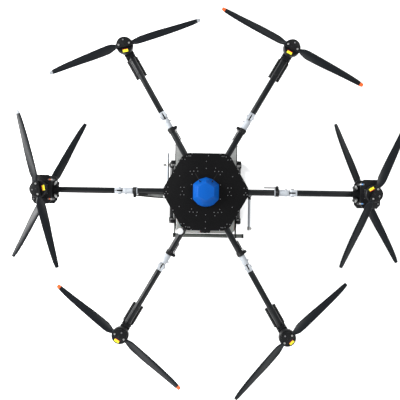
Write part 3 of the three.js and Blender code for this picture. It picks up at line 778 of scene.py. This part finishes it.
def blade_holder(fit, screw_side):
    """The seat, disc, bolts and shaft that hold a rotor's two blades."""
    seat = [*arc(BLADE_PIVOT, 0, 11.5, -90, 90, 12), *arc(-BLADE_PIVOT, 0, 11.5, 90, 270, 12)]
    fit("blade_seat", Shape().prism(seat, 36.7, SEAT_TOP), ANODISED, bevel=0.5)
    disc = Shape().prism(clamp_outline(screw_side), DISC_LOW, DISC_HIGH)
    fit("blade_clamp", disc, ANODISED, bevel=0.6)
    bolts = Shape()
    head = [(4, 0), (4.4, 0.6), (4.4, 2.8), (3.6, 4), (2.2, 4), (2.2, 1.8)]
    for x in (-BLADE_PIVOT, BLADE_PIVOT):
        bolts.rod((x, 0, 38), (x, 0, DISC_HIGH - 0.8), 4, 20)
        bolts.lathe([(6, -3), (6.4, -2.4), (6.4, -0.4), (6, 0)], (x, 0, DISC_LOW), steps=24)
        bolts.lathe(head, (x, 0, DISC_HIGH), steps=24)
    fit("pivot_bolts", bolts, BRIGHT)
    socket = [(3.6, 0), (3.6, 1.2), (2.8, 2.2), (1.6, 2.2), (1.6, 0.8)]
    screw = Shape().lathe(socket, (0, screw_side * 21, DISC_HIGH), steps=20)
    fit("clamp_screw", screw, STEEL)
    shaft = Shape().lathe([(9, SEAT_TOP), (9, DISC_LOW - 0.1)], steps=24)
    shaft.lathe([(5, 0), (5, 1.2), (3.6, 2.2)], (0, 0, DISC_HIGH), steps=24)
    fit("rotor_shaft", shaft, ANODISED, bevel=0.4)


def sticker(fit, side):
    """A plain yellow sticker with a red edge, across from the clamp's screw."""
    y = side * 28.2
    label = Shape().box(-12.5, 12.5, y - 5.5, y + 5.5, 36.2, 36.6)
    fit("sticker", label, YELLOW)
    near, far = sorted((y - side * 5.6, y - side * 8.2))
    edge = Shape().box(-12.5, 12.5, near, far, 36.2, 36.6)
    fit("sticker_edge", edge, RED)


def clamp_outline(screw_side):
    """A disc with its sticker side cut off parallel to the blades."""
    reach = 20.0
    return [(x, screw_side * y) for x, y in arc(0, 0, 35.5, -reach, 180 + reach, 32)]


# Along a blade: [distance from the motor axis, leading side, trailing side, thickness, pitch in degrees].
BLADE_STATIONS = [
    (34, 9, 9, 7.4, 0),
    (46, 13.5, 12.5, 7, 14),
    (62, 19.5, 17.5, 6.4, 22),
    (85, 21.5, 22, 5.6, 23),
    (112, 21.2, 21.6, 5, 20),
    (165, 20.5, 20, 4.2, 15),
    (225, 19.3, 16.5, 3.6, 11),
    (290, 17.2, 13.4, 3, 9),
    (345, 13.6, 11.2, 2.4, 7.5),
    (370, 10, 9.6, 2, 7),
    (TIP_R - 2, 8, 8.2, 1.5, 7),
    (TIP_R, 5.5, 6, 0.9, 7),
]
SECTION_STEPS = 14


def smooth_station(r):
    """A blade station at any distance, by a monotone cubic between the given ones."""
    rows = BLADE_STATIONS
    i = max(k for k in range(len(rows) - 1) if rows[k][0] <= r)
    span = rows[i + 1][0] - rows[i][0]
    t = (r - rows[i][0]) / span
    result = []
    for c in range(1, 5):
        before, after = slope(rows, i, c) * span, slope(rows, i + 1, c) * span
        a, b = rows[i][c], rows[i + 1][c]
        h1, h2 = 2 * t ** 3 - 3 * t ** 2 + 1, t ** 3 - 2 * t ** 2 + t
        h3, h4 = 3 * t ** 2 - 2 * t ** 3, t ** 3 - t ** 2
        result.append(h1 * a + h2 * before + h3 * b + h4 * after)
    return result


def slope(rows, i, c):
    """How fast column c changes at row i, without overshoot between rows."""
    if i == 0 or i == len(rows) - 1:
        return 0.0
    left = (rows[i][c] - rows[i - 1][c]) / (rows[i][0] - rows[i - 1][0])
    right = (rows[i + 1][c] - rows[i][c]) / (rows[i + 1][0] - rows[i][0])
    if left * right <= 0:
        return 0.0
    return 2 * left * right / (left + right)


def half_thickness(part):
    """Half the thickness of a section at a part of its chord, as a share of its greatest thickness."""
    return 1.48 * math.sqrt(part) - 0.63 * part - 1.76 * part ** 2 + 1.42 * part ** 3 - 0.45 * part ** 4


def blade_section(lead, trail, thick, pitch, hand):
    """An aerofoil ring: round leading edge, thin trailing edge, slight camber."""
    ring = []
    chord = lead + trail
    for k in range(2 * SECTION_STEPS):
        upper = k < SECTION_STEPS
        t = k / SECTION_STEPS if upper else (2 * SECTION_STEPS - k) / SECTION_STEPS
        part = (1 - math.cos(math.pi * t)) / 2
        half = thick * half_thickness(part)
        camber = 0.035 * chord * 4 * part * (1 - part)
        z = camber + (half + 0.25 if upper else -half * 0.8 - 0.25)
        if k in (0, SECTION_STEPS):
            z = camber
        y = -lead + part * chord
        a = math.radians(pitch)
        ring.append((hand * (y * math.cos(a) + z * math.sin(a)), -y * math.sin(a) + z * math.cos(a)))
    return ring


def blade_shape(hand):
    shape = Shape()
    distances = [34, 38, 42, 46, 51, 56, 62, 69, 77, 85, 98, 112]
    distances += [112 + 14 * i for i in range(1, 17)] + [350, 360, 368, 374, TIP_R - 2, TIP_R - 0.6, TIP_R]
    rings = []
    for r in distances:
        lead, trail, thick, pitch = smooth_station(min(r, TIP_R - 0.001))
        rings.append([(r - BLADE_PIVOT, y, z) for y, z in blade_section(lead, trail, thick, pitch, hand)])
    shape.rings(rings)
    neck = [*arc(0, 0, 11, 60, 300, 20), (9, -9), (13, -8), (19, -8), (19, 8), (13, 8), (9, 9)]
    shape.prism(neck, -3.9, 3.9)
    return shape


def blade_place(rotor, label):
    """A blade's frame: its origin on the pivot, X along the blade, read from the CAD blade's tip."""
    pivot = joint_mm("%s_blade_%s_fold" % (rotor, label))
    points = [v.co / MM - pivot for v in frame["nodes"]["blade_%s_%s" % (rotor, label)].data.vertices]
    far = max(p.length for p in points)
    tip = sum((p for p in points if p.length > far - 2), Vector())
    return turned_place(pivot, math.atan2(tip.y, tip.x))


def blades(rotor, hand, tips, paints):
    for label, tip in zip("ab", tips):
        own = rotor + "_" + label
        fit = fitter(own, "blade_" + own, blade_place(rotor, label))
        fit("propeller", blade_shape(hand), paints[tip], replaces=["blade_" + own], sharp=50)
        eye = Shape().lathe([(4.4, -4), (6.4, -4), (6.4, 4), (4.4, 4)], steps=28, loop=True)
        fit("pivot_bush", eye, BRIGHT, bevel=0.2)


# ---- tank, cradle, battery and pump
def tank_ring(inset, z, corner=24.0):
    """The tank's outline at a height, a rounded rectangle drawn in by an inset."""
    low, high = box_mm("spray_tank")
    centre_y = (low.y + high.y) / 2
    a, b = high.x - corner, (high.y - low.y) / 2 - corner
    points = []
    for cx, cy, start in ((a, b, 0), (-a, b, 90), (-a, -b, 180), (a, -b, 270)):
        points += arc(cx, cy + centre_y, corner - inset, start, start + 90, 8)
    return [(x, y, z) for x, y in points]


def spray_tank():
    """The tank in one skin: rounded edges, a groove round its middle, and the filler's neck and bore."""
    bottom = box_mm("spray_tank")[0].z
    edge = 11.0
    angles = [math.radians(15 * i) for i in range(7)]
    rounding = [(edge * (1 - math.sin(a)), edge * (1 - math.cos(a))) for a in angles]
    rings = [tank_ring(inset, bottom + rise) for inset, rise in rounding]
    for inset, rise in ((0, 60), (2.5, 62), (2.5, 112), (0, 114)):
        rings.append(tank_ring(inset, bottom + rise))
    rings += [tank_ring(inset, TANK_TOP - drop) for inset, drop in reversed(rounding)]
    neck = Vector((0, NECK_Y, 0))
    ways = [(Vector((x, y, 0)) - neck).normalized() for x, y, _ in rings[-1]]
    for radius, rise in ((28, 0), (28, 6), (26.6, 7), (22, 7), (22, -60)):
        rings.append([(way.x * radius, NECK_Y + way.y * radius, TANK_TOP + rise) for way in ways])
    piece("liquid_tank", Shape().rings(rings), TANK, replaces=["spray_tank"], sharp=40)
    axis = joint_mm("tank_lid")
    hinge = Shape()
    for x in (-19, 14.4):
        hinge.box(x, x + 4.6, axis.y - 6, axis.y + 6, TANK_TOP - 1, axis.z + 4)
    hinge.rod((-18, axis.y, axis.z), (18, axis.y, axis.z), 2, 16)
    piece("lid_hinge_ears", hinge, BLACK, bevel=0.8)


def tank_lid():
    low = box_mm("tank_lid")[0]
    axis = joint_mm("tank_lid")
    back = axis.y - 8
    outline = [(-26, back), (-26, low.y + 6), (-20, low.y), (20, low.y), (26, low.y + 6), (26, back)]
    lid = Shape().prism(outline, low.z, low.z + 4.6)
    lid.box(-13, 13, axis.y - 10, axis.y - 1, low.z, low.z + 4.6)
    piece("filler_lid", lid, BLACK, "tank_lid", bevel=1.0, replaces=["tank_lid"])
    barrel = Shape().lathe([(2.5, -13), (4.2, -13), (4.2, 13), (2.5, 13)], axis, (1, 0, 0), 28, loop=True)
    piece("lid_hinge_barrel", barrel, BLACK, "tank_lid", bevel=0.3)
    grip = Shape()
    for i in range(5):
        grip.box(-18, 18, low.y + 4 + 4 * i, low.y + 5.6 + 4 * i, low.z + 4.2, low.z + 5.6)
    piece("lid_grip_ribs", grip, RUBBER, "tank_lid", bevel=0.3)


def side_panels():
    """The two dark panels beside the tank, grey sheets in front of it that paint the shade on the white
    tank's top, and their screws.
    """
    panels = Shape()
    shade_sheets = Shape()
    screws = Shape()
    profile = [(-231, 270), (-223, 262), (240, 262), (250, 272), (250, CRADLE_TOP), (96, CRADLE_TOP)]
    profile += [(90, 366), (76, 451.5), (-76, 451.5), (-90, 366), (-96, CRADLE_TOP), (-231, CRADLE_TOP)]
    # Painted shade: flat grey sheets where the white tank's top lies in the shade of the plates.
    painted_light_sheet = [(110, 76), (PANEL_IN - 0.2, 76), (PANEL_IN - 0.2, 250), (147, 250), (110, 186)]
    spots = [(y, z) for y in STRAP_YS for z in (240, 190)]
    spots += [(y, 330) for y in (-215, -120, -60, 60, 130, 190, 236)]
    for side in (-1, 1):
        panels.rings([[(side * x, y, z) for y, z in profile] for x in (PANEL_IN, PANEL_OUT)])
        shade_sheets.prism([(side * x, y) for x, y in painted_light_sheet], CRADLE_TOP - 4, CRADLE_TOP)
        for y, z in spots:
            screws.screw((side * PANEL_OUT, y, z), (side, 0, 0), 3, 2)
        for y in (100, 160, 225):
            screws.screw((side * 140, y, CRADLE_TOP), (0, 0, 1), 3, 2)
    piece("side_panels", panels, PLATE, bevel=0.5, replaces=["tank_cradle"])
    piece("front_shade_sheets", shade_sheets, GREY_PAINTED_LIGHT, bevel=0.5)
    piece("panel_screws", screws, STEEL)


def straps_and_bars():
    """The straps under the tank, and the bars that carry the battery and the pump."""
    straps = Shape()
    for y in STRAP_YS:
        for side in (-1, 1):
            straps.side_box(side, PANEL_IN, PANEL_OUT, y - 16, y + 16, STRAP_Z, 263)
        straps.box(-PANEL_IN, PANEL_IN, y - 12, y + 12, STRAP_Z, STRAP_Z + 10.5)
    piece("tank_straps", straps, ANODISED, bevel=0.8)
    bars = Shape()
    for y in (-60, 70):
        bars.box(-PANEL_IN, PANEL_IN, y - 10, y + 10, CRADLE_TOP + 0.4, CRADLE_TOP + 6)
    for y in (113, 158):
        bars.box(-PANEL_IN, PANEL_IN, y - 8, y + 8, 262, 268)
    piece("cross_bars", bars, ANODISED, bevel=0.8)


def rear_cross_tube():
    def at(x):
        return (x, CROSS_TUBE_Y, CROSS_TUBE_Z)

    tube = Shape().pipe(at(-PANEL_X - 6), at(CROSS_TUBE_RIGHT), 10, 8.4)
    piece("rear_cross_tube", tube, OLIVE, bevel=0.3)
    ends = Shape()
    for x in (-PANEL_X - 8, CROSS_TUBE_RIGHT - 6):
        ends.pipe(at(x), at(x + 9), 10.8, 9)
    piece("cross_tube_ends", ends, RUBBER, bevel=0.5)


def boom_brackets():
    brackets = Shape()
    pins = Shape()
    for name, side in (("left", -1), ("right", 1)):
        x, y, z = joint_mm(name + "_boom_fold")
        end = arc(x, y, 10, -side * 90, 180 - side * 90, 12)
        outline = [(side * PANEL_X, y - side * 10), *end, (side * PANEL_X, y + side * 10)]
        for low in (z - 14, z + 9):
            brackets.prism(outline, low, low + 5)
        pins.rod((x, y, z - 16), (x, y, z + 16), 4, 20)
        pins.hexagon((x, y, z + 14), (0, 0, 1), 11, 4)
    piece("boom_brackets", brackets, ANODISED, bevel=0.6)
    piece("boom_pins", pins, STEEL)


def battery():
    low, high = box_mm("battery_pack")
    front = 150.0
    case = Shape().box(low.x, high.x, low.y, front - 10, low.z, high.z)
    piece("battery_case", case, BLACK, bevel=7, replaces=["battery_pack"])
    cap = Shape().box(low.x + 5, high.x - 5, front - 12, front, low.z + 6, high.z - 6)
    piece("battery_cap", cap, RUBBER, bevel=4)
    z = 397.0
    grip = Shape()
    path = [(-47, front - 2, z), (-47, 168, z), (-44, 175, z), (-37, 178, z)]
    path += [(-x, y, zz) for x, y, zz in reversed(path)]
    grip.sweep(path, 5, 20)
    piece("battery_handle", grip, RUBBER, sharp=60)
    raised = Shape()
    for i in range(9):
        y = low.y + 22 + 22 * i
        raised.box(low.x - 0.8, high.x + 0.8, y, y + 5, low.z + 14, high.z - 14)
    piece("battery_ribs", raised, BLACK, bevel=0.7)
    lights = Shape()
    for i in range(4):
        lights.lathe([(2.4, 0), (2.4, 0.8), (1.8, 1.2)], (20 + 9 * i, front, 420), (0, 1, 0), 16)
    piece("battery_lights", lights, LENS)


def pump():
    low, high = box_mm("spray_pump")
    head = Shape().box(-46, 20, low.y, high.y, low.z, high.z)
    piece("pump_head", head, BLACK, bevel=4, replaces=["spray_pump"])
    motor = Shape().lathe([(22, 18), (26, 20), (26, 40), (24, 43), (9, 44)], (0, 135, 300), (1, 0, 0), 40)
    piece("pump_motor", motor, ANODISED, bevel=0.4)
    barbs = [(4, 0), (6, 0), (6, 3), (5, 5), (6, 7), (5, 9), (6, 11), (4, 14)]
    port = Shape().lathe(barbs, (-46, 120, 300), (-1, 0, 0), 24)
    piece("pump_port", port, BRIGHT)


# ---- landing gear and booms
def landing_gear(name, side):
    x = side * SKID_X
    skid = Shape().pipe((x, -LEG_Y - 4, SKID_Z), (x, LEG_Y + 4, SKID_Z), 11, 9.4)
    piece("skid_" + name, skid, TUBE_BLACK, bevel=0.4, replaces=["landing_gear_" + name])
    legs = Shape()
    clamps = Shape()
    feet = Shape()
    bolts = Shape()
    for end in (-1, 1):
        y = end * LEG_Y
        legs.rod((x, y, SKID_Z + 3), (side * 168, y, 338), 8, 28)
        clamps.side_box(side, 157.5, 178, y - 9.5, y + 9.5, 312, 340)
        clamps.box(x - 13, x + 13, y - 11, y + 11, 6, 34)
        feet.box(x - 12.5, x + 12.5, *sorted((y, y + end * 20)), 0.2, 27)
        for z in (320, 332):
            bolts.screw((side * 178, y, z), (side, 0, 0), 3, 2)
    piece("legs_" + name, legs, TUBE_BLACK, bevel=0.3)
    piece("leg_clamps_" + name, clamps, BLACK, bevel=2.0)
    piece("skid_feet_" + name, feet, RUBBER, bevel=3.0)
    piece("leg_bolts_" + name, bolts, STEEL)


def spray_boom(name, turn, nozzle_along, nozzle_x):
    """A boom along -Y of its own frame; nozzle_along is the part of its length where the nozzle sits."""
    pivot = joint_mm(name + "_boom_fold")
    fit = fitter(name, "boom_" + name, turned_place(pivot, turn))
    tube = Shape().pipe((0, -6, 0), (0, -BOOM_LENGTH, 0), 6.5, 5.2)
    fit("boom_tube", tube, SILVER, bevel=0.3, replaces=["spray_boom_" + name])
    eye = Shape().lathe([(4.5, -8.6), (9.5, -8.6), (9.5, 8.6), (4.5, 8.6)], steps=32, loop=True)
    eye.pipe((0, -8, 0), (0, -20, 0), 8, 6.6)
    fit("boom_eye", eye, ANODISED, bevel=0.5)
    y = -BOOM_LENGTH * nozzle_along
    holder = Shape().pipe((0, y + 8, 0), (0, y - 8, 0), 8.6, 6.6)
    holder.box(min(0, nozzle_x) + 4, max(0, nozzle_x) + 5, y - 6, y + 6, -6, 6)
    fit("nozzle_holder", holder, BRIGHT, bevel=0.8)
    profile = [(4, 4), (6.5, 4), (6.5, -8), (8, -10), (8, -18), (6, -20), (4.4, -32), (2.5, -34)]
    nozzle = Shape().lathe(profile, (nozzle_x, y, 0), steps=28)
    fit("nozzle", nozzle, BRIGHT)
    nut = Shape().hexagon((nozzle_x, y, -19), (0, 0, 1), 15, 7)
    fit("nozzle_nut", nut, BLACK)


def small_fittings():
    """The puck on the rear left arm, a grey sheet beside the left arm's tube that paints the tube's
    highlight, the left arm's hose, and a thin rod at the rear left.
    """
    place = arm_place("rear_left")
    puck = Shape().lathe([(12, 16), (15, 17.5), (15, 27), (13.4, 29), (4, 29.6)], along(227, -9), steps=40)
    piece("round_sensor", puck, WHITE_PLASTIC, place=place)
    clip = Shape().pipe(along(219), along(235), 16.6, 15.1)
    piece("sensor_clip", clip, BLACK, place=place, bevel=0.4)
    # Painted highlight: a flat grey sheet beside the tube, where light reflects off the tube's side.
    highlight_sheet = Shape().prism([(-330, -14), (-333, -23), (-207, -32), (-207, -14)], 456.6, 458)
    piece("left_arm_highlight_sheet", highlight_sheet, GREY_PAINTED_LIGHT, bevel=0.3)
    route = [(-334, -23), (-300, -26), (-240, -30.6), (-196, -33)]
    hose = Shape().sweep([(x, y, 460) for x, y in route], 2.6, 14)
    piece("left_arm_hose", hose, RUBBER, sharp=60)
    rod = Shape().rod((-139, -128, 447), (-138, -205, 447), 1.3, 12)
    rod.rod((-139, -120, 447), (-139, -132, 447), 3, 16)
    piece("thin_rod_antenna", rod, BRIGHT)


# ---- camera, light and floor
CAMERA_PLACE = (-0.028, -0.040, 3.526)
CAMERA_ROLL = 0.9
# Place in metres, width in metres and power in watts.
LAMPS = [
    ((-3.4, 1.0, 2.2), 2.0, 400),
    ((2.8, 2.6, 3.2), 2.6, 130),
    ((-1.4, -3.4, 2.8), 2.6, 120),
    ((2.8, -2.6, 3.2), 2.6, 120),
]


def add_camera():
    """Straight above the drone, looking down."""
    data = bpy.data.cameras.new("camera")
    data.lens = 56.6
    data.sensor_width = 36
    camera = in_scene("camera", data, CAMERA_PLACE)
    camera.rotation_euler = (0, 0, math.radians(CAMERA_ROLL))
    scene.camera = camera


def add_lamps():
    target = Vector((0, 0, 0.4))
    for place, width, power in LAMPS:
        lamp = bpy.data.lights.new("softbox", "AREA")
        lamp.size = width
        lamp.energy = power
        light = in_scene("softbox", lamp, place)
        light.rotation_euler = (target - light.location).to_track_quat("-Z", "Y").to_euler()


def add_world():
    world = bpy.data.worlds.new("studio")
    world.use_nodes = True
    background = world.node_tree.nodes["Background"]
    background.inputs["Color"].default_value = (0.95, 0.98, 1, 1)
    background.inputs["Strength"].default_value = 0.36
    scene.world = world
    scene.view_settings.view_transform = "Standard"


def add_floor(reach=30.0):
    mesh = bpy.data.meshes.new("floor")
    corners = [(-reach, -reach, 0), (reach, -reach, 0), (reach, reach, 0), (-reach, reach, 0)]
    mesh.from_pydata(corners, [], [(0, 1, 2, 3)])
    mesh.materials.append(floor_paint())
    in_scene("floor", mesh)


# ---- the build
add_camera()
add_lamps()
add_world()
add_floor()
frame_plates()
antenna_cover()
for arm in ARM_NAMES:
    place = arm_place(arm)
    lever_side = -joints[arm + "_lever"]["axis"][2]
    inner_arm(arm, place, lever_side)
    lock_lever(arm, place, lever_side, WIDE_LEVER if arm == "right" else CLOSE_LEVER)
    fit_outer = fitter(arm, "arm_" + arm, place)
    outer_arm(fit_outer, arm)
    if arm in TWIN_ARMS:
        twin_mount(fit_outer, arm, place)
    else:
        single_mount(fit_outer, arm)
tip_paints = {tip: blade_plastic(tip) for tip in (None, WHITE, ORANGE)}
for rotor, look in ROTORS.items():
    place = rotor_place(rotor)
    fit_rotor = fitter(rotor, "rotor_" + rotor, place)
    motor_bell(fit_rotor, rotor)
    blade_holder(fit_rotor, look["screw"])
    label_place = place @ Matrix.Rotation(math.radians(look.get("label", 0)), 4, "Z")
    sticker(fitter(rotor, "rotor_" + rotor, label_place), -look["screw"])
    blades(rotor, look["hand"], look.get("tips", (None, None)), tip_paints)
spray_tank()
tank_lid()
side_panels()
straps_and_bars()
rear_cross_tube()
boom_brackets()
battery()
pump()
landing_gear("left", -1)
landing_gear("right", 1)
spray_boom("right", 0.0, 0.95, 6)
spray_boom("left", math.pi, 0.66, 18)
small_fittings()
